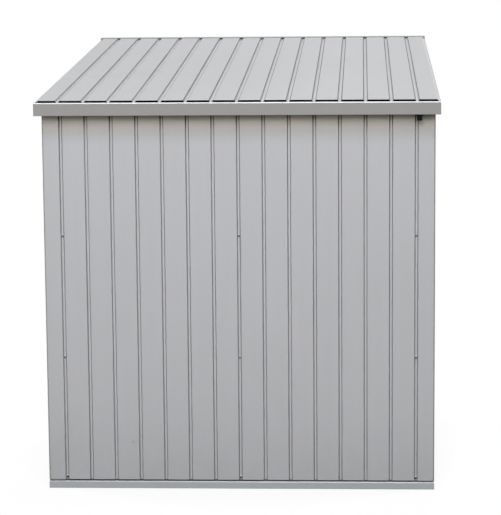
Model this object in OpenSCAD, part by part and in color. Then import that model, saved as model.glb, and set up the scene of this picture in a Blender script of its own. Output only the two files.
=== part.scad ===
// Metal storage shed with a single-pitch roof.
// Folded sheet panels with narrow vertical grooves lap into each other at the grooves, hang on a base frame
// and carry a grooved roof sheet that drains into a gutter behind the low fascia.
// Ground level is z = 0 and the origin is the middle of the footprint. The low eave faces -Y, the door +Y.
// Left is -X and right is +X. Lengths are millimetres.

/* [Walls] */
// Cover width of one rear wall panel, groove to groove
panel_cover = 800; // [700:10:900]
// Cover width of one side wall panel, groove to groove
side_panel_cover = 800; // [700:10:900]
// Flat crowns on one panel
crowns = 7; // [6:1:8]
// From a corner of the shed to the nearest groove
corner_flange = 84; // [60:1:110]
// Radius of the outer corner of a corner post
corner_r = 5; // [3:0.5:9]
// Thickness of the wall and roof sheet
sheet_t = 0.6; // [0.5:0.05:0.8]

/* [Groove] */
// Width of a groove at the outer face
groove_w = 18; // [15:0.5:22]
// Width of a groove at its floor
groove_floor = 8; // [7:0.5:10]
// Depth of a groove
groove_depth = 9; // [7.5:0.5:11]
// Radius of the bends beside a groove
bend_r = 1.5; // [1:0.1:1.8]

/* [Base frame] */
// Height of the base rail up to its ledge
base_h = 36; // [28:1:50]
// Width of the foot that lies on the ground
base_foot = 48; // [36:1:70]
// Thickness of the base rail sheet
base_t = 1.2; // [1:0.1:2]
// Width of the sloping ledge on top of the rail's face
ledge = 5; // [3:0.5:8]
// Height of the upstand that the panels are screwed to
upstand_h = 40; // [30:1:60]
// Shadow gap between the ledge and a wall panel
panel_gap = 6; // [4:0.5:9]
// Gap between the ledge and a corner post or door jamb
post_gap = 2; // [1:0.5:5]
// Diameter of an anchor hole in the foot
anchor_d = 9; // [7:0.5:12]
// From the middle of a rail to its anchor holes
anchor_offset = 700; // [500:10:760]

/* [Roof] */
// Height of the gutter lip above the ground
eave_z = 1765; // [1600:5:2000]
// Slope of the roof in degrees
roof_slope = 10; // [8:0.5:14]
// Height of the fascia
fascia_h = 58; // [50:1:75]
// Thickness of the fascia and gutter sheet
fascia_t = 0.8; // [0.6:0.1:1.2]
// Overhang of the roof at its sides
side_overhang = 20; // [17:1:40]
// Overhang of the roof over the door wall
front_overhang = 80; // [40:1:120]
// Overhang of the gutter at the low eave
eave_overhang = 80; // [60:1:110]
// Open mouth of the gutter, from its face to the end of the roof sheet
gutter_mouth = 23; // [18:1:30]
// Width of the folded flank along each side of the roof
verge_flank = 9; // [6:0.5:14]
// Depth of the front trim's cover over the roof sheet
trim_cover = 28; // [20:1:45]
// Depth of the fillers that close the crowns at the eave
filler_depth = 38; // [20:1:60]
// Height of the front trim's raised lip
trim_lip = 3; // [2.5:0.5:8]

/* [Drain] */
// Outside diameter of the drain spout
spout_d = 24; // [20:0.5:28]
// Wall of the drain spout
spout_wall = 2; // [1.5:0.25:3]
// Length of the spout below the gutter
spout_len = 27; // [22:1:40]
// Diameter of the spout's collar
collar_d = 35; // [32:0.5:40]
// Height of the spout's collar
collar_h = 6; // [4:0.5:9]
// From the right end of the gutter to the spout
spout_inset = 93; // [60:1:200]

/* [Roof supports] */
// Height of the roof purlins
purlin_h = 44; // [38:1:60]
// Width of the flanges of the purlins and top rails
rail_flange = 34; // [25:1:45]
// Height of the top rails along the low and high walls
top_rail_h = 38; // [30:1:42]

/* [Door] */
// Height of the wall over the door head
over_door_h = 180; // [120:2:320]
// Width of a jamb's face, from its groove to the doorway
jamb_face = 62; // [55:1:70]
// Height of the door head's face
head_face = 60; // [45:1:80]
// Depth of the door frame's reveal
reveal = 46; // [42:1:60]
// Width of the stop that the door closes on
door_stop = 14; // [10:1:20]
// Gap around the door leaf
door_gap = 4; // [3:0.5:6]
// Thickness of the door leaf
leaf_t = 38; // [32:1:40]
// Height of the door handle above the ground
handle_z = 1020; // [900:10:1150]
// Length of the lever, from its neck to its tip
lever_len = 118; // [95:1:140]
// How far the handle stands out from the door
handle_out = 48; // [42:1:60]
// Diameter of the lever
lever_d = 18; // [14:1:22]
// Width of the lock plate
plate_w = 40; // [32:1:50]
// Height of the lock plate
plate_h = 190; // [150:5:230]
// Thickness of the lock plate
plate_t = 6; // [4:0.5:9]
// Length of a hinge barrel
hinge_len = 95; // [70:1:130]
// Diameter of a hinge barrel
hinge_d = 14; // [12:0.5:18]

/* [Hidden] */
$fn = 48;

// Clearance between pieces that seat on each other
fit_gap = 0.3;
// Clearance between two lapped sheets
lap_gap = 0.2;
// From the end of the roof sheet to the fillers in it
filler_recess = 2;
// Open seam between the free edge of a lap and the next flank
lap_seam = 1;
// Straight pieces in one bend
bend_steps = 3;
// Length that a cut runs past what it cuts
overrun = 50;
// Crowns on the panels beside the doorway
door_side_crowns = 3;
// Width of the gutter's folded lip
gutter_lip = 6;
// Drop of the gutter lip's inner fold
lip_drop = 6;
// Radius inside the tight folds along a lip
lip_fold = 0.3;
// Width of the flat top of the gutter's lip, as a share of its fold's radius
lip_flat_share = 1.8;
// Height of the gutter's back below its lip
gutter_back_drop = 10;
// Thickness of the gutter's end caps
cap_t = 1;
// Thickness of the spout's flange inside the gutter
spout_flange_t = 2;
// Thickness of the hinge plates
hinge_plate_t = 2;
// Radius of the lock plate's corners
plate_r = 8;
// Height of the hinges, as shares of the door's height
hinge_height_shares = [0.12, 0.5, 0.88];
// Width of a hinge plate as a share of the flat beside the door's seam
hinge_plate_share = 0.8;
// Places of the purlins as shares of the shed's depth
purlin_shares = [1 / 3, 2 / 3];
// Place of the lever on the lock plate, as a share of its height
lever_height_share = 0.7;

steel = [0.72, 0.72, 0.73];
trim = [0.62, 0.62, 0.62];
galvanised = [0.64, 0.66, 0.67];
stainless = [0.78, 0.78, 0.77];
black = [0.07, 0.08, 0.08];

half_w = panel_cover + corner_flange;
half_d = side_panel_cover + corner_flange;
pitch = panel_cover / crowns;
side_pitch = side_panel_cover / crowns;
roof_half = half_w + side_overhang;
eave_y = -half_d - eave_overhang;
front_y = half_d + front_overhang;
sheet_end_y = eave_y + gutter_mouth;
wall_depth = groove_depth + 2 * sheet_t + lap_gap;
lap_depth = groove_depth + sheet_t + lap_gap;
flank_w = (groove_w - groove_floor) / 2;
lap_foot = groove_floor / 2 - flank_w * (sheet_t + lap_gap) / groove_depth;
rail_d = wall_depth + fit_gap;
panel_z = base_h + panel_gap;
post_z = base_h + post_gap;
seat_w = -(sheet_t + lap_gap + fit_gap);
crown_w = sheet_t + groove_depth;
jamb_groove = panel_cover - door_side_crowns * pitch;
door_half = jamb_groove - jamb_face;
fold_r = bend_r + base_t;
trim_r = bend_r + fascia_t;
lip_r = lip_fold + fascia_t;
lip_bevel = gutter_lip - lip_flat_share * lip_r;
leaf_half = door_half - door_gap;
leaf_z = base_h + door_gap;
handle_s = panel_cover - (door_side_crowns + 1.5) * pitch;
jamb_flat = jamb_face - groove_w / 2;
leaf_flat = pitch - jamb_face - door_gap - groove_w / 2;
purlin_y = [for (share = purlin_shares) half_d * (2 * share - 1)];

// Heights of planes of the roof above a place y: the seat under the sheet, and the top of the crowns.
function roof_z(y, w) = eave_z + (y - sheet_end_y) * tan(roof_slope) + w / cos(roof_slope);
function seat_z(y) = roof_z(y, seat_w);
function crown_z(y) = roof_z(y, crown_w);

// The door reaches up to its head, which carries the wall over it.
head_top = seat_z(half_d) - over_door_h;
door_top = head_top - head_face;
leaf_top = door_top - door_gap;

// Paths of folded sheet
function unit(v) = v / norm(v);
function left_of(v) = [-v.y, v.x];
function turn_of(u, v) = u.x * v.y - u.y * v.x;

// Points of a bend of radius r at b, on the way from a to c
function bend(a, b, c, r) =
    let (u = unit(a - b), v = unit(c - b), half = acos(u * v) / 2,
        centre = b + unit(u + v) * r / sin(half), from = b + u * r / tan(half) - centre,
        angle = atan2(from.y, from.x), sweep = sign(turn_of(b - a, c - b)) * (180 - 2 * half))
    [for (i = [0:bend_steps]) let (t = angle + sweep * i / bend_steps) centre + r * [cos(t), sin(t)]];

// A path with its inner corners bent: to one radius, or to a list of radii in the corners' order
function bent(path, r = bend_r) =
    [path[0],
        for (i = [1:len(path) - 2]) each bend(path[i - 1], path[i], path[i + 1], is_list(r) ? r[i - 1] : r),
        path[len(path) - 1]];

// A path moved sideways by t, to its left
function beside(path, t) =
    let (last = len(path) - 1)
    [for (i = [0:last])
        let (n1 = left_of(unit(path[max(i, 1)] - path[max(i, 1) - 1])),
            n2 = left_of(unit(path[min(i, last - 1) + 1] - path[min(i, last - 1)])), m = unit(n1 + n2))
        path[i] + m * t / (m * n1)];

function reversed(list) = [for (i = [len(list) - 1:-1:0]) list[i]];
function mirrored(path) = [for (p = path) [-p.x, p.y]];

// Folded sheet of thickness t along a path, standing h high. A negative t lies to the path's right.
module folded(path, t, h) {
    linear_extrude(height = h) polygon(concat(path, reversed(beside(path, t))));
}

// The same, for a path in (y, z) that runs along x, centred
module folded_along_x(path, t, length) {
    translate([-length / 2, 0, 0]) rotate([90, 0, 90]) folded(path, t, length);
}

// Grooved sheet: x runs along the wall and y inwards from its outer face
function groove(s) = [[s - groove_w / 2, 0], [s - groove_floor / 2, groove_depth],
    [s + groove_floor / 2, groove_depth], [s + groove_w / 2, 0]];
function lap_under(s) = [[s - groove_floor / 2 + lap_seam, lap_depth], [s + lap_foot, lap_depth],
    [s + groove_w / 2, 0]];
function lap_over(s) = [[s - groove_w / 2, 0], [s - groove_floor / 2, groove_depth],
    [s + groove_floor / 2 - lap_seam, groove_depth]];

// Panel from the groove at s over a number of crowns: its first edge laps under, its last edge over
function panel_path(s, count, step) = concat(lap_under(s),
    [for (i = [1:count - 1]) each groove(s + i * step)], lap_over(s + count * step));

// Corner post from the last groove of one wall to the first groove of the next
function corner_path(half) = concat(lap_under(half - corner_flange), [[half, 0]],
    [for (p = lap_over(corner_flange)) [half - p.y, p.x]]);

// Walls are numbered the way round: 0 rear, 1 right, 2 front, 3 left
module on_wall(k) {
    rotate([0, 0, 90 * k]) translate([0, k % 2 == 0 ? -half_d : -half_w, 0]) children();
}

// Cuts what stands above the roof's seat
module below_roof() {
    far = half_d + overrun;
    top = roof_z(far, overrun);
    difference() {
        children();
        rotate([90, 0, 90]) linear_extrude(height = 2 * (half_w + overrun), center = true)
            polygon([[-far, seat_z(-far)], [far, seat_z(far)], [far, top], [-far, top]]);
    }
}

module wall_panel(k, s, count) {
    step = k % 2 == 0 ? pitch : side_pitch;
    below_roof() on_wall(k) translate([0, 0, panel_z])
        folded(bent(panel_path(s, count, step)), sheet_t, roof_z(half_d, 0) - panel_z);
}

module corner_post(k) {
    half = k % 2 == 0 ? half_w : half_d;
    radii = [bend_r, bend_r, corner_r, bend_r, bend_r];
    below_roof() on_wall(k) translate([0, 0, post_z])
        folded(bent(corner_path(half), radii), sheet_t, roof_z(half_d, 0) - post_z);
}

// Base rail: foot, face, sloping ledge and upstand, mitred into the next rails
module base_rail(k) {
    half = k % 2 == 0 ? half_w : half_d;
    path = [[base_foot, 0], [0, 0], [0, base_h - ledge], [ledge, base_h], [rail_d, base_h],
        [rail_d, base_h + upstand_h]];
    inner = half - base_foot - overrun;
    color(galvanised) on_wall(k) intersection() {
        difference() {
            folded_along_x(bent(path, fold_r), -base_t, 2 * half);
            for (side = [-1, 1])
                translate([side * anchor_offset, (base_foot + rail_d) / 2, -overrun])
                    cylinder(d = anchor_d, h = 2 * overrun);
            if (k == 2) doorway_cut();
        }
        translate([0, 0, -overrun]) linear_extrude(height = base_h + upstand_h + 2 * overrun)
            polygon([[-half + fit_gap, 0], [half - fit_gap, 0], [inner, base_foot + overrun - fit_gap],
                [-inner, base_foot + overrun - fit_gap]]);
    }
}

// Takes the upstand out of the doorway, so that the ledge is the threshold
module doorway_cut() {
    translate([-door_half, rail_d - overrun, base_h]) cube([2 * door_half, 2 * overrun, upstand_h + overrun]);
}

// Top rails at the low and high walls: a leg against the wall and a flange under the roof sheet
module top_rail(k) {
    rise = k == 0 ? tan(roof_slope) : -tan(roof_slope);
    top = seat_z(k == 0 ? -half_d : half_d) + rise * rail_d;
    path = [[rail_d, top - top_rail_h], [rail_d, top], [rail_d + rail_flange, top + rise * rail_flange]];
    color(galvanised) on_wall(k)
        folded_along_x(bent(path, fold_r), -base_t, 2 * (half_w - rail_d - base_t - fit_gap));
}

// Places in the frame of the roof sheet: x across, y up the slope, z square to it
module on_roof() {
    translate([0, sheet_end_y, eave_z]) rotate([roof_slope, 0, 0]) children();
}

function slope_run(y) = (y - sheet_end_y) / cos(roof_slope);

// Keeps what lies between two places along the shed's depth
module between(y0, y1) {
    intersection() {
        children();
        translate([-roof_half - overrun, y0, 0])
            cube([2 * (roof_half + overrun), y1 - y0, roof_z(front_y, overrun)]);
    }
}

// Folded sheet for a path across the roof, running up its slope
module folded_up_slope(path, t, y0, y1) {
    on_roof() translate([0, slope_run(y1), 0]) rotate([90, 0, 0]) folded(path, t, slope_run(y1) - slope_run(y0));
}

// Side top rail: a leg against the side wall and a flange at its foot that the purlins stand on
module side_top_rail(side) {
    x = half_w - rail_d;
    foot = seat_w - purlin_h - fit_gap;
    path = bent([[x - rail_flange, foot - base_t], [x, foot - base_t], [x, seat_w]], fold_r);
    reach = half_d - rail_d - base_t - fit_gap;
    color(galvanised) between(-reach, reach)
        folded_up_slope(side > 0 ? path : mirrored(path), side * base_t, -half_d, half_d);
}

// Purlin: a channel across the roof that stands on the side top rails
module purlin(y) {
    length = 2 * (half_w - rail_d - base_t - fit_gap);
    path = [[rail_flange, seat_w], [0, seat_w], [0, seat_w - purlin_h], [rail_flange, seat_w - purlin_h]];
    color(galvanised) on_roof() translate([0, slope_run(y) - rail_flange / 2, 0])
        folded_along_x(bent(path, fold_r), base_t, length);
}

// Roof sheet from one verge to the middle groove
function on_top(path) = [for (p = path) [p.x, crown_w - p.y]];
function verge_path() = let (edge = roof_half - fascia_t - fit_gap, foot = edge - gutter_lip)
    [[-edge, groove_depth], [-foot, groove_depth], [-foot + verge_flank, 0]];
function roof_grooves() = [for (i = [0:crowns - 1]) each groove(-panel_cover + i * pitch)];

module roof_sheet(side) {
    middle = side < 0 ? lap_over(0) : mirrored(reversed(lap_under(0)));
    path = bent(on_top(concat(verge_path(), roof_grooves(), middle)));
    sheet = side < 0 ? path : mirrored(path);
    color(steel) folded_up_slope(sheet, side * sheet_t, sheet_end_y, front_y - fascia_t - lip_drop);
}

// Outlines of the foam fillers that close the open ends of the crowns, one under each crown
function filler(x0, x1, flank0, flank1) =
    let (gap = 2 * sheet_t + lap_gap + fit_gap, top = groove_depth - fit_gap)
    [[x0 + gap, 0], [x0 + flank0 + gap, top], [x1 - flank1 - gap, top], [x1 - gap, 0]];

module eave_fillers() {
    verge = verge_path()[1].x;
    groove_half = groove_floor / 2;
    at_verge = filler(verge, -panel_cover - groove_half, verge_flank, flank_w);
    inner = [for (i = [-crowns:crowns - 1])
        filler(i * pitch + groove_half, (i + 1) * pitch - groove_half, flank_w, flank_w)];
    color(black) on_roof() translate([0, filler_recess + filler_depth, 0]) rotate([90, 0, 0])
        linear_extrude(height = filler_depth)
            for (outline = concat([at_verge, mirrored(at_verge)], inner)) polygon(outline);
}

// Fascia along a side of the roof, with a lip under the verge and a return to the wall
module side_fascia(side) {
    drop = fascia_h * cos(roof_slope) + fit_gap;
    inner = half_w + 2 * fit_gap;
    path = bent([[inner, -fit_gap], [roof_half, -fit_gap], [roof_half, -drop], [inner, -drop]], trim_r);
    color(trim) between(-half_d + fit_gap, front_y - fascia_t - fit_gap)
        folded_up_slope(side > 0 ? path : mirrored(path), -side * fascia_t, -half_d - overrun, front_y + overrun);
}

// Trim along the high edge: a lip that stands on the crowns, a top, a face and a return to the wall. At each end
// a tab closes it, a plate under the lip closes the verge's flank, and the return is notched for the side fascia.
module front_fascia() {
    lip_y = front_y - trim_cover;
    bottom = roof_z(front_y, 0) - fascia_h;
    notch = fascia_t + fit_gap;
    path = [[lip_y, crown_z(lip_y) + fit_gap], [lip_y, crown_z(lip_y) + trim_lip],
        [front_y, crown_z(front_y) + trim_lip], [front_y, bottom], [half_d + 2 * fit_gap, bottom]];
    tab = [[lip_y, roof_z(lip_y, 0)], [lip_y, crown_z(lip_y) + trim_lip],
        [front_y, crown_z(front_y) + trim_lip], [front_y, roof_z(front_y, 0)]];
    seat = [for (p = on_top(verge_path())) [p.x, roof_z(lip_y + fascia_t, p.y) + fit_gap]];
    lid_z = crown_z(lip_y) + trim_lip - lip_r;
    plate = concat(seat, [[seat[2].x, lid_z], [-roof_half, lid_z], [-roof_half, seat[0].y]]);
    color(trim) {
        difference() {
            folded_along_x(bent(path, [lip_r, trim_r, trim_r]), -fascia_t, 2 * roof_half);
            for (side = [-1, 1])
                translate([side < 0 ? -roof_half - overrun : roof_half - notch, half_d, bottom - overrun])
                    cube([overrun + notch, front_overhang - notch, overrun + trim_r]);
        }
        for (side = [-1, 1]) {
            translate([side < 0 ? -roof_half : roof_half - fascia_t, 0, 0]) rotate([90, 0, 90])
                linear_extrude(height = fascia_t) polygon(tab);
            translate([0, lip_y + fascia_t, 0]) rotate([90, 0, 0]) linear_extrude(height = fascia_t)
                polygon(side < 0 ? plate : mirrored(plate));
        }
    }
}

// Gutter: folded lip with a bevel, face, floor with the drain hole, and back against the rear wall
module rear_gutter() {
    back_y = -half_d - fit_gap;
    floor_z = eave_z - fascia_h;
    path = [[eave_y + gutter_lip, eave_z - lip_drop], [eave_y + gutter_lip, eave_z],
        [eave_y + lip_bevel, eave_z], [eave_y, eave_z - lip_bevel], [eave_y, floor_z], [back_y, floor_z],
        [back_y, eave_z - gutter_back_drop]];
    color(trim) difference() {
        folded_along_x(bent(path, [lip_r, lip_r, trim_r, trim_r, trim_r]), fascia_t, 2 * roof_half);
        at_spout() translate([0, 0, -overrun / 2]) cylinder(d = spout_d + 2 * fit_gap, h = overrun);
    }
}

// End cap that closes the gutter's trough and the wedge between it and the verge
module gutter_end_cap(side) {
    y0 = eave_y + fascia_t + fit_gap;
    y1 = -half_d - 2 * fit_gap - fascia_t;
    lip_y = eave_y + gutter_lip + fit_gap;
    z0 = eave_z - fascia_h + fascia_t + fit_gap;
    z1 = eave_z - lip_drop - fit_gap;
    trough = [[y0, z1], [y0, z0 + bend_r], [y0 + bend_r, z0], [y1 - bend_r, z0], [y1, z0 + bend_r]];
    verge = [for (y = [y1, sheet_end_y, lip_y]) [y, roof_z(max(y, sheet_end_y), -fit_gap)]];
    color(trim) translate([side < 0 ? -roof_half : roof_half - cap_t, 0, 0]) rotate([90, 0, 90])
        linear_extrude(height = cap_t) polygon(concat(trough, verge, [[lip_y, z1]]));
}

// The spout's place, on the underside of the gutter's floor
module at_spout() {
    translate([roof_half - spout_inset, (eave_y - half_d) / 2, eave_z - fascia_h]) children();
}

// Spout: a tube with a flange inside the gutter and a collar under it
module drain_spout() {
    r = spout_d / 2;
    bore = r - spout_wall;
    tip = spout_wall / 2;
    flange_z = fascia_t + fit_gap;
    color(black) at_spout() rotate_extrude()
        polygon([[bore, flange_z + spout_flange_t], [bore, -spout_len], [r - tip, -spout_len],
            [r, -spout_len + tip], [r, -collar_h], [collar_d / 2, -collar_h], [collar_d / 2, -fit_gap],
            [r, -fit_gap], [r, flange_z], [collar_d / 2, flange_z],
            [collar_d / 2, flange_z + spout_flange_t]]);
}

// Door frame: jambs that lap into the side panels, and a head between them
module door_jamb(side) {
    frame = [[-door_half, 0], [-door_half, reveal], [-door_half + door_stop, reveal]];
    path = side < 0 ? concat(lap_under(-jamb_groove), frame)
        : concat(reversed(mirrored(frame)), lap_over(jamb_groove));
    color(trim) on_wall(2) translate([0, 0, post_z]) folded(bent(path), sheet_t, head_top - post_z);
}

module door_head() {
    path = [[0, head_top], [0, door_top], [reveal, door_top], [reveal, door_top - door_stop]];
    color(trim) on_wall(2) folded_along_x(bent(path, fold_r), base_t, 2 * (door_half - fit_gap));
}

// Wall over the door, standing on the head
module over_door() {
    color(steel) below_roof() on_wall(2) translate([0, 0, head_top + fit_gap])
        folded(bent(panel_path(-jamb_groove, 2 * (crowns - door_side_crowns), pitch)), sheet_t,
            roof_z(half_d, 0) - head_top);
}

// Door leaf: a grooved outer skin with returned edges, closed by a tray
module door_outer_skin() {
    count = 2 * (crowns - door_side_crowns) - 2;
    path = concat([[-leaf_half, leaf_t], [-leaf_half, 0]],
        [for (i = [0:count]) each groove((i - count / 2) * pitch)], [[leaf_half, 0], [leaf_half, leaf_t]]);
    color(steel) on_wall(2) translate([0, 0, leaf_z]) folded(bent(path), sheet_t, leaf_top - leaf_z);
}

module door_inner_skin() {
    w = leaf_half - sheet_t - lap_gap;
    h = leaf_top - leaf_z;
    front = groove_depth + sheet_t + lap_gap;
    color(steel) on_wall(2) translate([0, 0, leaf_z]) difference() {
        translate([-w, front, 0]) cube([2 * w, leaf_t - front, h]);
        translate([-w + sheet_t, front - overrun, sheet_t])
            cube([2 * (w - sheet_t), leaf_t - sheet_t - front + overrun, h - 2 * sheet_t]);
    }
}

// Places on the outer face of the door: x along the front wall, y up, z outwards
module on_door(s, z) {
    on_wall(2) translate([s, 0, z]) rotate([90, 0, 0]) children();
}

module door_lock_plate() {
    color(stainless) on_door(handle_s, handle_z) linear_extrude(height = plate_t) {
        square([plate_w, plate_h - 2 * plate_r], center = true);
        square([plate_w - 2 * plate_r, plate_h], center = true);
        for (x = [-1, 1], y = [-1, 1])
            translate([x * (plate_w / 2 - plate_r), y * (plate_h / 2 - plate_r)]) circle(plate_r);
    }
}

// Lever: a neck out of the plate and a round bar with a rounded tip
module door_lever() {
    r = lever_d / 2;
    y = plate_h * (lever_height_share - 0.5);
    color(stainless) on_door(handle_s, handle_z) translate([0, y, 0]) {
        translate([0, 0, plate_t]) cylinder(r = r, h = handle_out - r - plate_t);
        translate([0, 0, handle_out - r]) {
            sphere(r);
            rotate([0, -90, 0]) cylinder(r = r, h = lever_len - r);
            translate([-(lever_len - r), 0, 0]) sphere(r);
        }
    }
}

// Hinge: a barrel over the seam and a plate on each side of it
module door_hinge(share) {
    seam = -door_half + door_gap / 2;
    r = hinge_d / 2;
    on_jamb = jamb_flat * hinge_plate_share;
    on_leaf = leaf_flat * hinge_plate_share;
    color(stainless) on_door(seam, leaf_z + share * (leaf_top - leaf_z)) {
        translate([-on_jamb - door_gap / 2, -hinge_len / 2, 0])
            cube([on_jamb + on_leaf + door_gap, hinge_len, hinge_plate_t]);
        translate([0, hinge_len / 2, r]) rotate([90, 0, 0]) cylinder(r = r, h = hinge_len);
    }
}

base_rail(0);  // base_rail_rear
base_rail(1);  // base_rail_right
base_rail(2);  // base_rail_front
base_rail(3);  // base_rail_left
color(steel) corner_post(0);  // corner_post_rear_right
color(steel) corner_post(1);  // corner_post_front_right
color(steel) corner_post(2);  // corner_post_front_left
color(steel) corner_post(3);  // corner_post_rear_left
color(steel) wall_panel(0, -panel_cover, crowns);  // rear_wall_panel_left
color(steel) wall_panel(0, 0, crowns);  // rear_wall_panel_right
color(steel) wall_panel(1, -side_panel_cover, crowns);  // right_wall_panel_rear
color(steel) wall_panel(1, 0, crowns);  // right_wall_panel_front
color(steel) wall_panel(3, -side_panel_cover, crowns);  // left_wall_panel_front
color(steel) wall_panel(3, 0, crowns);  // left_wall_panel_rear
color(steel) wall_panel(2, -panel_cover, door_side_crowns);  // front_wall_panel_right
color(steel) wall_panel(2, jamb_groove, door_side_crowns);  // front_wall_panel_left
over_door();  // front_wall_panel_over_door
door_jamb(-1);  // door_jamb_right
door_jamb(1);  // door_jamb_left
door_head();
door_outer_skin();
door_inner_skin();
door_lock_plate();
door_lever();
door_hinge(hinge_height_shares[0]);  // door_hinge_lower
door_hinge(hinge_height_shares[1]);  // door_hinge_middle
door_hinge(hinge_height_shares[2]);  // door_hinge_upper
top_rail(0);  // top_rail_rear
top_rail(2);  // top_rail_front
side_top_rail(1);  // top_rail_right
side_top_rail(-1);  // top_rail_left
purlin(purlin_y[0]);  // roof_purlin_low
purlin(purlin_y[1]);  // roof_purlin_high
roof_sheet(-1);  // roof_sheet_left
roof_sheet(1);  // roof_sheet_right
side_fascia(1);  // side_fascia_right
side_fascia(-1);  // side_fascia_left
front_fascia();
rear_gutter();
gutter_end_cap(1);  // gutter_end_cap_right
gutter_end_cap(-1);  // gutter_end_cap_left
drain_spout();
eave_fillers();
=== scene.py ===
import math

import bmesh
import bpy
from mathutils import Matrix, Vector


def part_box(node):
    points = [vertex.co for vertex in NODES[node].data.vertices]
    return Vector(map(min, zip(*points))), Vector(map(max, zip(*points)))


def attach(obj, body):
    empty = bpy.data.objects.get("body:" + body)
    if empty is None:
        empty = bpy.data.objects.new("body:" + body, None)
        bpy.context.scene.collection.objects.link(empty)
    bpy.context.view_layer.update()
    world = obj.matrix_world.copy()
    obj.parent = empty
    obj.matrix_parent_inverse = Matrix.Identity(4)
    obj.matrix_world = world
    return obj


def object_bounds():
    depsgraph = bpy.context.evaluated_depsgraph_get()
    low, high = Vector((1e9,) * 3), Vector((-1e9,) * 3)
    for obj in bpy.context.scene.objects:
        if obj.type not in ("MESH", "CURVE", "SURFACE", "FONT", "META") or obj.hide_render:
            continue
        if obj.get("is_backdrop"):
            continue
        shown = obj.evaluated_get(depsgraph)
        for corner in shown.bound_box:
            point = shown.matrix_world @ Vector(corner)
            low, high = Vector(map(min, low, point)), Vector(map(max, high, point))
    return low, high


# Metal storage shed: looks, small fasteners, camera and stage

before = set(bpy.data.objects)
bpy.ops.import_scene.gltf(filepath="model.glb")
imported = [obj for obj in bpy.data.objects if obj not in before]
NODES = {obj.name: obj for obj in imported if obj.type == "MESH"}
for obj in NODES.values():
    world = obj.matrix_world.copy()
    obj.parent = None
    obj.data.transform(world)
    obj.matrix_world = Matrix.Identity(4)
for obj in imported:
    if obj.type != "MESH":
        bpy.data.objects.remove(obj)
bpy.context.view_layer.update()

# Sizes of the CAD part, in metres
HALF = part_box("corner_post_rear_right")[1].x
WALL_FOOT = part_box("corner_post_rear_right")[0].z
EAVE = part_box("rear_gutter")[0].z
GUTTER_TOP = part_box("rear_gutter")[1].z
# A rear panel laps past the groove at each of its ends by the same length
panel_low, panel_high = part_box("rear_wall_panel_right")
COVER = panel_low.x + panel_high.x
CROWNS = 7
DOOR_SIDE_CROWNS = 3
PITCH = COVER / CROWNS
GROOVE_HALF = 0.009
GROOVE_FLOOR_HALF = 0.004
GROOVE_DEPTH = 0.009
# A little more than a grooved panel is deep
WALL_DEPTH = 0.012
HINGE_PLATE_T = 0.002
hinge_low, hinge_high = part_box("door_hinge_lower")
HINGE_R = (hinge_high.y - hinge_low.y) / 2
# Heights of the wall screws
SCREW_HEIGHTS = (0.0565, 0.612, 1.167)

# Places of painted light and shade, and of dirt and wear, in metres. A pair says where a change or a band
# starts and where it ends
GROOVE_FLOOR_SOFT = 0.0005
GROOVE_RIM_SOFT = 0.0015
LIT_STRIP_HALF = 0.0064
BENDS = (0.0067, 0.0113)
BEND_SOFT = 0.0008
EAVE_DUST_AND_SHADE = (EAVE - 0.112, EAVE - 0.002)
GUTTER_SHADE_BAND = (EAVE - 0.027, EAVE - 0.001)
EAVE_GROOVE_SHADOW = (EAVE - 0.097, EAVE + 0.008)
SCREW_SHADOW_DROP = 0.0065
SCREW_SHADOW_R = (0.0035, 0.0060)
SCREW_SHADOW_FADE = (0.1, 0.5)
CORNER_EDGE = (HALF - 0.008, HALF - 0.004)
LOW_SHADE_HEIGHTS = (0.02, 0.42)
SMUDGE_AT = (-0.490, -HALF, 0.215)
SMUDGE_R = (0.003, 0.014)
SMUDGE_WIDTH_SHARE = 0.6
FOOT = (WALL_FOOT - 0.001, WALL_FOOT + 0.0045)
LEDGE = (0.0305, 0.0347)
GAP = (LEDGE[1], 0.08)
GUTTER_LIP = (GUTTER_TOP - 0.0045, GUTTER_TOP)


def linear(r, g, b):
    """An sRGB colour, 0 to 255, as scene-linear values."""
    def channel(v):
        v /= 255
        return v / 12.92 if v <= 0.04045 else ((v + 0.055) / 1.055) ** 2.4
    return channel(r), channel(g), channel(b)


def darker(color, share):
    return [c * share for c in color]


# Tones and finish of the painted sheets
WALL_PAINT = linear(188.6, 189, 192)
ROOF_PAINT = linear(187, 188, 190)
TRIM_PAINT = linear(151, 150, 149)
BASE_PAINT = linear(178, 184, 187)
PAINT_SPECULAR = 0.25
# Canning is how much wide flats wave
SHEET_FINISH = {"rough": 0.52, "metallic": 0.04, "canning": 0.10}
TRIM_FINISH = {"rough": 0.36, "metallic": 0.25}
BASE_FINISH = {"rough": 0.34, "metallic": 0.25}

# Tones of painted light and shade, some of them with dirt, each with the share of the paint that it
# covers. The smudge and the handling marks are dirt alone
FLANK_SHADE_AND_DIRT = (linear(92, 91, 89), 0.55)
BEND_SHADE_AND_DIRT = (linear(40, 40, 40), 0.78)
LIT_STRIP = (linear(236, 237, 239), 0.22)
DUST_AND_WARM_SHADE = (linear(214, 204, 182), 0.65)
GUTTER_SHADE = (linear(58, 50, 28), 0.4)
GROOVE_SHADOW_AND_GRIME = (linear(9, 9, 9), 1)
CORNER_EDGE_SHADE = (linear(96, 96, 95), 0.6)
SMUDGE = (linear(110, 109, 106), 0.35)
HANDLING = (linear(150, 148, 143), 0.05)
FOOT_SHADOW = (linear(52, 52, 51), 0.6)
GAP_SHADOW = (linear(52, 52, 51), 0.85)
LEDGE_HIGHLIGHT = (linear(198, 201, 203), 1)
LIP_HIGHLIGHT = (linear(240, 241, 242), 1)
# The share of the painted shadow, with some dirt, under a screw runs from the first to the second as the
# screws get higher
SCREW_SHADOW_TONE = linear(16, 16, 15)
SCREW_SHADOW_SHARES = (0.85, 0.4)
LOW_SHADE_TONE = linear(122, 123, 127)
WALL_LOW_SHADE_SHARE = 0.18
BASE_LOW_SHADE_SHARE = 0.15


# Node helpers

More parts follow.
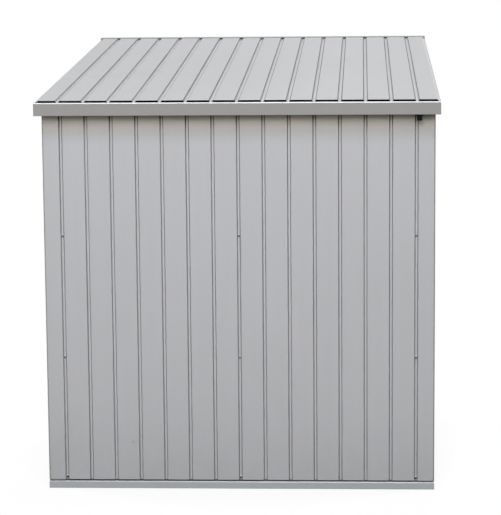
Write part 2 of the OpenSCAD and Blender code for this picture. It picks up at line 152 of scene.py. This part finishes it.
class Nodes:
    """Short calls for the nodes of a material or of the world."""

    def __init__(self, owner, output="ShaderNodeOutputMaterial"):
        owner.use_nodes = True
        self.owner = owner
        self.tree = owner.node_tree
        self.tree.nodes.clear()
        self.out = self.new(output)

    def new(self, kind):
        return self.tree.nodes.new(kind)

    def set(self, socket, value):
        """Links a socket, or sets its own value."""
        if isinstance(value, bpy.types.NodeSocket):
            self.tree.links.new(value, socket)
        elif socket.type == "RGBA":
            socket.default_value = (*value, 1)
        else:
            socket.default_value = value

    def math(self, operation, a, b=None, c=None):
        node = self.new("ShaderNodeMath")
        node.operation = operation
        for socket, value in zip(node.inputs, (a, b, c)):
            if value is not None:
                self.set(socket, value)
        return node.outputs[0]

    def vector(self, operation, a, b, output="Vector"):
        node = self.new("ShaderNodeVectorMath")
        node.operation = operation
        self.set(node.inputs[0], a)
        self.set(node.inputs[1], b)
        return node.outputs[output]

    def split(self, vector):
        """The three parts of a vector."""
        node = self.new("ShaderNodeSeparateXYZ")
        self.set(node.inputs[0], vector)
        return tuple(node.outputs)

    def ramp(self, value, low, high, to_low=0.0, to_high=1.0):
        """A smooth step as the value goes from low to high."""
        node = self.new("ShaderNodeMapRange")
        node.interpolation_type = "SMOOTHSTEP"
        for i, v in enumerate((value, low, high, to_low, to_high)):
            self.set(node.inputs[i], v)
        return node.outputs[0]

    def fall(self, value, low, high):
        """A smooth step down, from 1 at low to 0 at high."""
        return self.ramp(value, low, high, 1, 0)

    def product(self, first, *others):
        for other in others:
            first = self.math("MULTIPLY", first, other)
        return first

    def total(self, base, *terms):
        """The base plus each mask times its amount."""
        for mask, amount in terms:
            base = self.math("MULTIPLY_ADD", mask, amount, base)
        return base

    def mix(self, share, a, b, blend="MIX"):
        node = self.new("ShaderNodeMix")
        node.data_type = "RGBA"
        node.blend_type = blend
        self.set(node.inputs[0], share)
        self.set(node.inputs[6], a)
        self.set(node.inputs[7], b)
        return node.outputs[2]

    def grey(self, value):
        node = self.new("ShaderNodeCombineColor")
        for socket in node.inputs[:3]:
            self.set(socket, value)
        return node.outputs[0]


class Surface(Nodes):
    """A material in the making: its shade starts as one colour, and each cover lays a tint over it."""

    def __init__(self, name, color):
        super().__init__(bpy.data.materials.new(name))
        place = self.new("ShaderNodeTexCoord").outputs
        self.coords, self.normal = place["Object"], place["Normal"]
        self.shade = color

    def cover(self, tint, share, *masks):
        """Lays a tint over the shade by a share, where all the masks are."""
        self.shade = self.mix(self.product(share, *masks), self.shade, tint)

    def scaled(self, scale):
        return self.vector("MULTIPLY", self.coords, scale)

    def noise(self, scale, detail, rough=0.5, vector=None, distort=0.0):
        node = self.new("ShaderNodeTexNoise")
        self.set(node.inputs["Vector"], vector or self.coords)
        node.inputs["Scale"].default_value = scale
        node.inputs["Detail"].default_value = detail
        node.inputs["Roughness"].default_value = rough
        node.inputs["Distortion"].default_value = distort
        return node.outputs["Fac"]

    def cells(self, scale):
        """A random value for each cell of a Voronoi pattern."""
        node = self.new("ShaderNodeTexVoronoi")
        self.set(node.inputs["Vector"], self.coords)
        node.inputs["Scale"].default_value = scale
        parts = self.new("ShaderNodeSeparateColor")
        self.set(parts.inputs[0], node.outputs["Color"])
        return parts.outputs[0]

    def bump(self, height, strength, distance, normal=None):
        node = self.new("ShaderNodeBump")
        node.inputs["Strength"].default_value = strength
        node.inputs["Distance"].default_value = distance
        self.set(node.inputs["Height"], height)
        if normal is not None:
            self.set(node.inputs["Normal"], normal)
        return node.outputs["Normal"]

    def principled(self, roughness, normal=None, metallic=0.0, specular=0.5):
        """Puts the shade on the material's shader and returns the material."""
        node = self.new("ShaderNodeBsdfPrincipled")
        self.set(node.inputs["Base Color"], self.shade)
        self.set(node.inputs["Roughness"], roughness)
        if normal is not None:
            self.set(node.inputs["Normal"], normal)
        node.inputs["Metallic"].default_value = metallic
        node.inputs["Specular IOR Level"].default_value = specular
        self.set(self.out.inputs["Surface"], node.outputs[0])
        return self.owner


# Painted sheets

class PaintedSheet(Surface):
    """Silver paint on folded sheet, with metal flake and faint streaks along its folds."""

    def __init__(self, name, color, roof=False):
        super().__init__(name, color)
        self.roof = roof
        self.x, self.y, self.height = self.split(self.coords)
        cloud = self.noise(scale=1.7, detail=3, rough=0.55)
        fine_across = self.along_folds(across=26, along=0.9)
        self.streak = self.noise(scale=1, detail=4, rough=0.6, vector=fine_across)
        flake = self.noise(scale=1400, detail=1)
        # Each pattern swings the tone by its depth, half up and half down
        patterns = ((cloud, 0.07), (self.streak, 0.06), (flake, 0.10))
        darkest = 1 - sum(depth for _, depth in patterns) / 2
        tone = self.total(darkest, *patterns)
        self.shade = self.mix(1, color, self.grey(tone), "MULTIPLY")

    def along_folds(self, across, along):
        """Coordinates scaled by one number across the folds and by another along them."""
        return self.scaled((across, along, along) if self.roof else (across, across, along))

    def streaky(self, least, low=0.3, high=0.7):
        """A share that follows the streaks, from the least to 1."""
        return self.ramp(self.streak, low, high, least, 1)

    def on_rear(self):
        """Mask of the rear wall."""
        return self.math("LESS_THAN", self.y, WALL_DEPTH - HALF)

    def groove_distance(self):
        """Distance to the middle of the nearest groove."""
        along = self.x
        if not self.roof:
            on_end_wall = self.math("GREATER_THAN", self.math("ABSOLUTE", self.y), HALF - WALL_DEPTH)
            along = self.math("MULTIPLY_ADD", on_end_wall, self.math("SUBTRACT", self.x, self.y), self.y)
        return self.math("PINGPONG", along, PITCH / 2)

    def flanks(self):
        """Mask of both flanks of each groove of a wall."""
        near = self.groove_distance()
        low, high = GROOVE_FLOOR_HALF - GROOVE_FLOOR_SOFT, GROOVE_FLOOR_HALF + GROOVE_FLOOR_SOFT
        above_floor = self.ramp(near, low, high)
        below_rim = self.fall(near, GROOVE_HALF - GROOVE_RIM_SOFT, GROOVE_HALF)
        return self.product(above_floor, below_rim)

    def add_wall_groove_shade_and_dirt(self):
        """Painted shade on the flanks of a wall's grooves, with some dirt."""
        self.cover(*FLANK_SHADE_AND_DIRT, self.flanks(), self.streaky(least=0.8))

    def add_roof_groove_light_and_shade(self):
        """Painted shade with some dirt along the bends of the roof's grooves, and a painted light strip
        between them.
        """
        near = self.groove_distance()
        self.cover(*LIT_STRIP, self.fall(near, LIT_STRIP_HALF, LIT_STRIP_HALF + BEND_SOFT))
        past_start = self.ramp(near, BENDS[0], BENDS[0] + BEND_SOFT)
        before_end = self.fall(near, BENDS[1] - BEND_SOFT, BENDS[1])
        self.cover(*BEND_SHADE_AND_DIRT, past_start, before_end, self.streaky(least=0.8))

    def add_eave_dust_and_shade(self):
        """Dust and painted warm shade under the gutter, and painted shade close to the gutter."""
        dust_and_shade_patches = self.streaky(least=0.8, low=0.2, high=0.8)
        self.cover(*DUST_AND_WARM_SHADE, self.ramp(self.height, *EAVE_DUST_AND_SHADE), self.on_rear(), dust_and_shade_patches)
        self.cover(*GUTTER_SHADE, self.ramp(self.height, *GUTTER_SHADE_BAND), self.on_rear())

    def add_screw_shadows(self):
        """A painted shadow, with some dirt, just under each screw of the rear wall."""
        step = SCREW_HEIGHTS[1] - SCREW_HEIGHTS[0]
        lowest = SCREW_HEIGHTS[0] - SCREW_SHADOW_DROP
        off_x = self.math("PINGPONG", self.x, COVER / 2)
        off_z = self.math("PINGPONG", self.math("SUBTRACT", self.height, lowest), step / 2)
        squares = self.math("ADD", self.math("POWER", off_x, 2), self.math("POWER", off_z, 2))
        spots = self.fall(self.math("SQRT", squares), *SCREW_SHADOW_R)
        below_top = self.math("LESS_THAN", self.height, SCREW_HEIGHTS[-1] + step / 2)
        share = self.ramp(self.height, *SCREW_SHADOW_FADE, *SCREW_SHADOW_SHARES)
        self.cover(SCREW_SHADOW_TONE, share, spots, self.on_rear(), below_top)

    def add_corner_edge_shade(self):
        """Painted shade along the outer edges of the corner posts, where they turn from the light."""
        inner = self.math("MINIMUM", self.math("ABSOLUTE", self.x), self.math("ABSOLUTE", self.y))
        self.cover(*CORNER_EDGE_SHADE, self.ramp(inner, *CORNER_EDGE))

    def add_eave_groove_shadow(self):
        """Painted shadow, with some grime, in the top of the rear wall's grooves."""
        self.cover(*GROOVE_SHADOW_AND_GRIME, self.ramp(self.height, *EAVE_GROOVE_SHADOW), self.flanks(), self.on_rear())

    def add_low_shade(self, share):
        """Painted shade in bluish patches, darker towards the ground."""
        patches = self.ramp(self.noise(scale=14, detail=5, rough=0.65), 0.3, 0.7, 0.35, 0.75)
        self.cover(LOW_SHADE_TONE, share, self.fall(self.height, *LOW_SHADE_HEIGHTS), patches)

    def add_painted_band(self, low, high, tint, share):
        """A tint between two heights: a painted highlight on a fold, or painted shadow in a gap."""
        above = self.math("GREATER_THAN", self.height, low)
        below = self.math("LESS_THAN", self.height, high)
        self.cover(tint, share, above, below, self.streaky(least=0.75, low=0.25, high=0.5))

    def add_smudge(self):
        """One small mark low on the rear wall, narrower than it is high."""
        squeeze = Vector((1, 1, SMUDGE_WIDTH_SHARE))
        off = self.vector("DISTANCE", self.scaled(squeeze), Vector(SMUDGE_AT) * squeeze, "Value")
        patches = self.ramp(self.noise(scale=160, detail=3, rough=0.6), 0.4, 0.6)
        self.cover(*SMUDGE, self.fall(off, *SMUDGE_R), patches)

    def painted(self, rough, metallic, canning=0.0):
        """Adds faint handling marks and fine unevenness, and returns the material."""
        marks = self.noise(scale=3.1, detail=5, rough=0.6, vector=self.scaled((1, 1, 0.45)), distort=0.6)
        smear = self.ramp(marks, 0.60, 0.74)
        self.cover(*HANDLING, smear)
        streak_swing, smear_swing = 0.08, 0.10
        roughness = self.total(rough - streak_swing / 2, (self.streak, streak_swing), (smear, smear_swing))
        normal = self.bump(self.noise(scale=420, detail=2), strength=0.05, distance=0.0004)
        if canning:
            broad = self.along_folds(across=5.2, along=1.6)
            wave = self.noise(scale=1, detail=2, rough=0.45, vector=broad)
            normal = self.bump(wave, strength=canning, distance=0.006, normal=normal)
        return self.principled(roughness, normal, metallic, PAINT_SPECULAR)


def wall_paint():
    sheet = PaintedSheet("wall_silver", WALL_PAINT)
    sheet.add_wall_groove_shade_and_dirt()
    sheet.add_eave_dust_and_shade()
    sheet.add_screw_shadows()
    sheet.add_corner_edge_shade()
    sheet.add_eave_groove_shadow()
    sheet.add_low_shade(WALL_LOW_SHADE_SHARE)
    # Painted shadow in the gap at the foot of the wall panels
    sheet.add_painted_band(*FOOT, *FOOT_SHADOW)
    sheet.add_smudge()
    return sheet.painted(**SHEET_FINISH)


def roof_paint():
    sheet = PaintedSheet("roof_silver", ROOF_PAINT, roof=True)
    sheet.add_roof_groove_light_and_shade()
    return sheet.painted(**SHEET_FINISH)


def trim_paint():
    return PaintedSheet("trim_silver", TRIM_PAINT).painted(**TRIM_FINISH)


def gutter_paint():
    sheet = PaintedSheet("gutter_silver", TRIM_PAINT)
    # A painted highlight along the gutter's lip
    sheet.add_painted_band(*GUTTER_LIP, *LIP_HIGHLIGHT)
    return sheet.painted(**TRIM_FINISH)


def base_paint():
    sheet = PaintedSheet("base_silver", BASE_PAINT)
    sheet.add_low_shade(BASE_LOW_SHADE_SHARE)
    # A painted highlight along the base's ledge
    sheet.add_painted_band(*LEDGE, *LEDGE_HIGHLIGHT)
    # Painted shadow in the gap above the ledge
    sheet.add_painted_band(*GAP, *GAP_SHADOW)
    return sheet.painted(**BASE_FINISH)


# Other materials

def galvanised(name, color):
    """Zinc coated rail with its broad crystals."""
    zinc = Surface(name, color)
    spangle = zinc.cells(scale=90)
    bloom = zinc.ramp(zinc.noise(scale=7, detail=4, rough=0.6), 0.55, 0.75)
    zinc.cover(darker(color, 0.72), 0.35, spangle)
    zinc.cover(linear(196, 198, 198), 0.25, bloom)
    normal = zinc.bump(zinc.noise(scale=260, detail=2), strength=0.05, distance=0.0005)
    return zinc.principled(zinc.total(0.34, (spangle, 0.16)), normal, metallic=0.55)


def brushed(name, color):
    """Stainless hardware, brushed along its length."""
    steel = Surface(name, color)
    grain = steel.noise(scale=1, detail=3, rough=0.6, vector=steel.scaled((60, 1800, 1800)))
    prints = steel.ramp(steel.noise(scale=60, detail=4, rough=0.6), 0.5, 0.7)
    steel.cover(darker(color, 0.6), 0.35, grain)
    roughness = steel.total(0.22, (prints, 0.12), (grain, 0.16))
    return steel.principled(roughness, steel.bump(grain, strength=0.08, distance=0.0003), metallic=0.9)


def plated_screw(name, highlight_tone, shade_tone):
    """Zinc plated screw, with a painted highlight on top and painted shade below."""
    screw = Surface(name, shade_tone)
    facing_up = screw.split(screw.normal)[2]
    speckle = screw.noise(scale=900, detail=3, rough=0.6)
    screw.cover(highlight_tone, screw.ramp(facing_up, -0.15, 0.45))
    screw.cover(linear(110, 110, 109), 0.3, speckle)
    return screw.principled(screw.total(0.25, (speckle, 0.2)), metallic=0.6)


def moulded(name, color, specular=0.5):
    """Weathered dark plastic with a fine moulded grain."""
    plastic = Surface(name, color)
    bloom = plastic.ramp(plastic.noise(scale=45, detail=4, rough=0.6), 0.45, 0.75)
    plastic.cover(linear(66, 72, 68), 0.15, bloom)
    normal = plastic.bump(plastic.noise(scale=900, detail=2), strength=0.15, distance=0.0003)
    return plastic.principled(plastic.total(0.5, (bloom, 0.2)), normal, specular=specular)


def foam(name, color):
    """Black closed-cell foam with open pores where it is cut."""
    block = Surface(name, color)
    pores = block.cells(scale=700)
    dust = block.ramp(block.noise(scale=35, detail=4, rough=0.6), 0.5, 0.8)
    block.cover(darker(color, 0.4), 0.5, pores)
    block.cover(linear(60, 58, 55), 0.1, dust)
    return block.principled(0.95, block.bump(pores, strength=0.4, distance=0.0006), specular=0.1)


wall_mat = wall_paint()
roof_mat = roof_paint()
trim_mat = trim_paint()
gutter_mat = gutter_paint()
base_mat = base_paint()
rail_mat = galvanised("galvanised_rail", linear(170, 174, 175))
steel_mat = brushed("brushed_stainless", linear(184, 183, 181))
screw_mat = plated_screw("screw_steel", highlight_tone=linear(252, 252, 252), shade_tone=linear(20, 20, 20))
spout_mat = moulded("spout_plastic", linear(11, 15, 13), specular=0.12)
washer_mat = moulded("washer_plastic", linear(40, 40, 41))
# Near black paints the shade inside the keyway, which is modelled shallow
keyway_shade_mat = moulded("keyway_shade", linear(12, 12, 12))
# The filler foam's black also paints the shade inside the slots under the roof's crowns
foam_and_slot_shade_mat = foam("filler_foam", linear(9, 9, 12))

# The first entry whose words start a node's name gives its material
NODE_MATERIALS = (
    (("base_rail",), base_mat),
    (("top_rail", "roof_purlin"), rail_mat),
    (("door_lever", "door_lock", "door_hinge"), steel_mat),
    (("drain_spout",), spout_mat),
    (("eave_fillers",), foam_and_slot_shade_mat),
    (("roof_sheet",), roof_mat),
    (("rear_gutter",), gutter_mat),
    (("side_fascia", "front_fascia", "gutter_end", "door_jamb", "door_head"), trim_mat),
    (("",), wall_mat),
)
for node_name, obj in NODES.items():
    obj.data.materials.clear()
    obj.data.materials.append(next(mat for starts, mat in NODE_MATERIALS if node_name.startswith(starts)))


# Small pieces that the CAD part leaves to this script

def loft(bm, place, rings, count):
    """Joins rings, each a height and a function from an angle to a radius, and closes both ends."""
    loops = []
    for height, radius in rings:
        loop = []
        for i in range(count):
            angle = 2 * math.pi * i / count
            point = Vector((radius(angle) * math.cos(angle), radius(angle) * math.sin(angle), height))
            loop.append(bm.verts.new(place @ point))
        loops.append(loop)
    for low, high in zip(loops, loops[1:]):
        for i in range(count):
            j = (i + 1) % count
            bm.faces.new((low[i], low[j], high[j], high[i])).smooth = True
    bm.faces.new(loops[-1])
    bm.faces.new(list(reversed(loops[0])))


def circle(radius):
    return lambda angle: radius


# A wall's number counts the quarter turns from the rear wall
REAR, RIGHT, FRONT, LEFT = range(4)


def wall_place(wall, along, depth, z):
    """A seat depth in from a wall's face, with Z pointing out. Along runs right, seen from outside."""
    turn = Matrix.Rotation(math.radians(90 * wall), 4, "Z")
    return turn @ Matrix.Translation((along, -HALF + depth, z)) @ Matrix.Rotation(math.radians(90), 4, "X")


def make_piece(name, bm, materials):
    mesh = bpy.data.meshes.new(name)
    bm.normal_update()
    bm.to_mesh(mesh)
    bm.free()
    for material in materials:
        mesh.materials.append(material)
    piece = bpy.data.objects.new(name, mesh)
    bpy.context.scene.collection.objects.link(piece)
    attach(piece, "root")


# Screws: a pan head with a six-lobed recess, on a thin washer
WALL_SCREW_R = 0.0047
HINGE_SCREW_R = 0.0036
LOCK_SCREW_R = 0.0034
SCREW_SIDES = 30
# Height and radius of each ring, as shares of the head's radius
HEAD_SHARES = (
    (0.0, 0.92), (0.10, 1.04), (0.18, 1.04), (0.20, 0.98), (0.50, 0.98), (0.78, 0.86), (0.98, 0.60),
)
RECESS_SHARES = ((1.04, 0.46), (1.00, 0.42), (0.62, 0.38))
LOBES = 6
LOBE_SHARE = 0.16


def lobed(radius):
    return lambda angle: radius * (1 + LOBE_SHARE * math.cos(LOBES * angle))


def add_screw(bm, place, radius):
    """A screw along Z of a place whose origin is its seat."""
    head = [(height * radius, circle(share * radius)) for height, share in HEAD_SHARES]
    recess = [(height * radius, lobed(share * radius)) for height, share in RECESS_SHARES]
    loft(bm, place, head + recess, SCREW_SIDES)


# Wall screws, in the grooves where two sheets lap
LAPS = (-COVER, 0, COVER)
DOOR_LAP = COVER - DOOR_SIDE_CROWNS * PITCH
SCREW_RUNS = {
    "rear_wall_screws": (REAR, LAPS),
    "right_wall_screws": (RIGHT, LAPS),
    "front_wall_screws": (FRONT, (-COVER, -DOOR_LAP, DOOR_LAP, COVER)),
    "left_wall_screws": (LEFT, LAPS),
}
for run_name, (wall, laps) in SCREW_RUNS.items():
    run = bmesh.new()
    for lap in laps:
        for z in SCREW_HEIGHTS:
            add_screw(run, wall_place(wall, lap, GROOVE_DEPTH, z), WALL_SCREW_R)
    make_piece(run_name, run, [screw_mat])

# Hinge screws, and washers between the knuckles, at shares of a hinge's length from its middle
HINGE_SCREW_SHARES = (-0.3, 0.3)
WASHER_SHARES = (-1 / 6, 1 / 6)
WASHER_SIDES = 36
# Height of each ring of a washer, and how far it stands out past the knuckle
WASHER_RINGS = ((-0.0007, 0.0001), (-0.0005, 0.0005), (0.0005, 0.0005), (0.0007, 0.0001))
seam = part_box("door_outer_skin")[1].x + HINGE_PLATE_T
washer = [(height, circle(HINGE_R + reach)) for height, reach in WASHER_RINGS]
hinge_screws, hinge_washers = bmesh.new(), bmesh.new()
for hinge in ("door_hinge_lower", "door_hinge_middle", "door_hinge_upper"):
    low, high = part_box(hinge)
    middle, length = (low.z + high.z) / 2, high.z - low.z
    for x in ((low.x + seam - HINGE_R) / 2, (seam + HINGE_R + high.x) / 2):
        for share in HINGE_SCREW_SHARES:
            seat = wall_place(FRONT, -x, -HINGE_PLATE_T, middle + share * length)
            add_screw(hinge_screws, seat, HINGE_SCREW_R)
    for share in WASHER_SHARES:
        place = Matrix.Translation((seam, HALF + HINGE_R, middle + share * length))
        loft(hinge_washers, place, washer, WASHER_SIDES)
make_piece("hinge_screws", hinge_screws, [screw_mat])
make_piece("hinge_washers", hinge_washers, [washer_mat])

# Lock cylinder with its keyway, and the two screws of the lock plate, at shares of the plate's height
CYLINDER_SHARE = 0.3
LOCK_SCREW_SHARES = (0.06, 0.94)
CYLINDER_SIDES = 120
BODY_R, BODY_T, BODY_BEVEL = 0.0085, 0.0022, 0.0004
TAIL_HALF, TAIL_REACH = 0.005, 0.0195
PLUG_R, PLUG_PROUD, PLUG_TAPER = 0.0065, 0.0004, 0.0005
RING_DEPTH, RING_TAPER = 0.0003, 0.0002
KEYWAY_HALF, KEYWAY_REACH, KEYWAY_DEPTH = 0.0009, 0.0036, 0.0015
# Keeps a division by a sine or cosine away from zero
LEAST = 1e-6


def tail(angle):
    """Radius of the body's lower lobe, seen from the plug's middle."""
    side, down = math.cos(angle), -math.sin(angle)
    if down <= 0:
        return 0.0
    straight = TAIL_HALF / max(abs(side), LEAST)
    if straight * down <= TAIL_REACH:
        return straight
    return TAIL_REACH * down + math.sqrt(max(TAIL_HALF ** 2 - (TAIL_REACH * side) ** 2, 0))


def body(grow):
    return lambda angle: max(BODY_R, tail(angle)) + grow


def keyway(angle):
    across = KEYWAY_HALF / max(abs(math.cos(angle)), LEAST)
    return min(across, KEYWAY_REACH / max(abs(math.sin(angle)), LEAST))


plate_low, plate_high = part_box("door_lock_plate")


def lock_place(share):
    """A seat on the lock plate's face, at a share of its height."""
    z = plate_low.z + share * (plate_high.z - plate_low.z)
    return wall_place(FRONT, -(plate_low.x + plate_high.x) / 2, HALF - plate_high.y, z)


cylinder_at = lock_place(CYLINDER_SHARE)
cylinder = bmesh.new()
cylinder_rings = (
    (0, body(0)),
    (BODY_T - BODY_BEVEL, body(0)),
    (BODY_T, body(-BODY_BEVEL)),
    (BODY_T, circle(PLUG_R)),
    (BODY_T - RING_DEPTH, circle(PLUG_R - RING_TAPER)),
    (BODY_T + PLUG_PROUD, circle(PLUG_R - PLUG_TAPER)),
    (BODY_T + PLUG_PROUD, keyway),
    (BODY_T - KEYWAY_DEPTH, keyway),
)
loft(cylinder, cylinder_at, cylinder_rings, CYLINDER_SIDES)
to_cylinder = cylinder_at.inverted()
for face in cylinder.faces:
    if all((to_cylinder @ v.co).xy.length < KEYWAY_REACH + KEYWAY_HALF for v in face.verts):
        face.material_index = 1
make_piece("lock_cylinder", cylinder, [steel_mat, keyway_shade_mat])
lock_screws = bmesh.new()
for share in LOCK_SCREW_SHARES:
    add_screw(lock_screws, lock_place(share), LOCK_SCREW_R)
make_piece("lock_plate_screws", lock_screws, [screw_mat])

# Camera: the photograph's size, focal length and centre in pixels, then its place in metres and its turns
IMAGE = (501, 515)
FOCAL_PX = 1602.2
CENTRE_PX = (300.0, 268.0)
CAMERA_AT = (0.5566, -8.0610, 1.8212)
YAW, PITCH_DOWN, ROLL = (math.radians(v) for v in (-2.2401, 6.3727, -0.2825))
CLIP_END = 200

cam_data = bpy.data.cameras.new("camera")
cam_data.sensor_fit = "AUTO"
cam_data.sensor_width = 36
cam_data.lens = FOCAL_PX / IMAGE[1] * cam_data.sensor_width
cam_data.shift_x = (IMAGE[0] / 2 - CENTRE_PX[0]) / IMAGE[1]
cam_data.shift_y = (CENTRE_PX[1] - IMAGE[1] / 2) / IMAGE[1]
cam_data.clip_end = CLIP_END
level = math.cos(PITCH_DOWN)
forward = Vector((math.sin(YAW) * level, math.cos(YAW) * level, -math.sin(PITCH_DOWN)))
right = forward.cross(Vector((0, 0, 1))).normalized()
up = right.cross(forward)
right, up = (math.cos(ROLL) * right + math.sin(ROLL) * up, -math.sin(ROLL) * right + math.cos(ROLL) * up)
camera = bpy.data.objects.new("camera", cam_data)
bpy.context.scene.collection.objects.link(camera)
camera.matrix_world = Matrix.Translation(CAMERA_AT) @ Matrix((right, up, -forward)).transposed().to_4x4()
bpy.context.scene.camera = camera

# Stage and light
AMBIENT = 0.11
AMBIENT_TINT = (0.97, 0.985, 1)
WHITE = (1, 1, 1)
FLOOR_HALF = 40
FLOOR_BOUNCE = (0.15, 0.15, 0.15)
FLOOR_SEEN = (0.95, 0.95, 0.95)
# Between these distances from the middle the floor's white share grows from the first to the second
FLOOR_FADE = (0.9, 1.7)
FLOOR_WHITE_SHARES = (0.87, 1.0)


def show_white(nodes, lit, white_kind, share):
    """Shows a share of white to the camera and to reflections, over a shader that the lamps light."""
    path = nodes.new("ShaderNodeLightPath").outputs
    seen = nodes.math("MAXIMUM", path["Is Camera Ray"], path["Is Glossy Ray"])
    seen = nodes.math("MAXIMUM", seen, path["Is Transmission Ray"])
    white = nodes.new(white_kind)
    nodes.set(white.inputs["Color"], WHITE)
    white.inputs["Strength"].default_value = 1
    mix = nodes.new("ShaderNodeMixShader")
    nodes.set(mix.inputs[0], nodes.product(seen, share))
    nodes.set(mix.inputs[1], lit.outputs[0])
    nodes.set(mix.inputs[2], white.outputs[0])
    nodes.set(nodes.out.inputs["Surface"], mix.outputs[0])


def studio_world():
    world = bpy.data.worlds.new("studio")
    nodes = Nodes(world, "ShaderNodeOutputWorld")
    ambient = nodes.new("ShaderNodeBackground")
    nodes.set(ambient.inputs["Color"], AMBIENT_TINT)
    ambient.inputs["Strength"].default_value = AMBIENT
    show_white(nodes, ambient, "ShaderNodeBackground", 1.0)
    return world


def floor_material():
    """Pale to the camera, with less light thrown back at the object, and running into the background."""
    nodes = Nodes(bpy.data.materials.new("floor_pale"))
    camera_ray = nodes.new("ShaderNodeLightPath").outputs["Is Camera Ray"]
    matt = nodes.new("ShaderNodeBsdfDiffuse")
    nodes.set(matt.inputs["Color"], nodes.mix(camera_ray, FLOOR_BOUNCE, FLOOR_SEEN))
    x, y, _ = nodes.split(nodes.new("ShaderNodeNewGeometry").outputs["Position"])
    far = nodes.math("MAXIMUM", nodes.math("ABSOLUTE", x), nodes.math("ABSOLUTE", y))
    show_white(nodes, matt, "ShaderNodeEmission", nodes.ramp(far, *FLOOR_FADE, *FLOOR_WHITE_SHARES))
    return nodes.owner


def add_floor():
    grid = bmesh.new()
    bmesh.ops.create_grid(grid, x_segments=1, y_segments=1, size=FLOOR_HALF)
    mesh = bpy.data.meshes.new("floor")
    grid.to_mesh(mesh)
    grid.free()
    mesh.materials.append(floor_material())
    floor = bpy.data.objects.new("floor", mesh)
    bpy.context.scene.collection.objects.link(floor)
    floor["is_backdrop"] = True


def softbox(name, at, aim, size, watts, mirrored=False):
    """A rectangular lamp. Only a mirrored one shows in reflections."""
    data = bpy.data.lights.new(name, "AREA")
    data.shape = "RECTANGLE"
    data.size, data.size_y = size
    data.energy = watts
    lamp = bpy.data.objects.new(name, data)
    bpy.context.scene.collection.objects.link(lamp)
    lamp.location = at
    lamp.rotation_mode = "QUATERNION"
    lamp.rotation_quaternion = (Vector(aim) - Vector(at)).to_track_quat("-Z", "Y")
    lamp.visible_camera = False
    lamp.visible_glossy = mirrored


bpy.context.scene.world = studio_world()
add_floor()
softbox("key", at=(-0.2, -6.6, 4.2), aim=(0, -0.9, 1.3), size=(1.6, 2.6), watts=200)
softbox("high_key", at=(0.6, -5.2, 6.8), aim=(0.1, -0.9, 1.2), size=(3.0, 2.0), watts=175, mirrored=True)
softbox("left_fill", at=(-3.4, -6.4, 1.9), aim=(-0.4, -0.9, 1.5), size=(1.6, 1.4), watts=50)
softbox("right_fill", at=(1.8, -6.8, 3.0), aim=(0.3, -0.9, 0.9), size=(1.6, 1.4), watts=38)
softbox("overhead", at=(0, 2.6, 6.2), aim=(0, 0.8, 2.1), size=(3.0, 2.2), watts=92)
softbox("right_side", at=(6.2, 1.2, 2.4), aim=(0.9, 0.0, 0.9), size=(2.2, 3.4), watts=285)
softbox("left_side", at=(-6.2, 1.2, 2.4), aim=(-0.9, 0.0, 0.9), size=(2.2, 3.4), watts=270)
softbox("door_side", at=(0.6, 6.8, 2.9), aim=(0, 0.9, 0.9), size=(2.2, 4.4), watts=245)

bpy.context.scene.view_settings.view_transform = "Standard"

low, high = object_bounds()
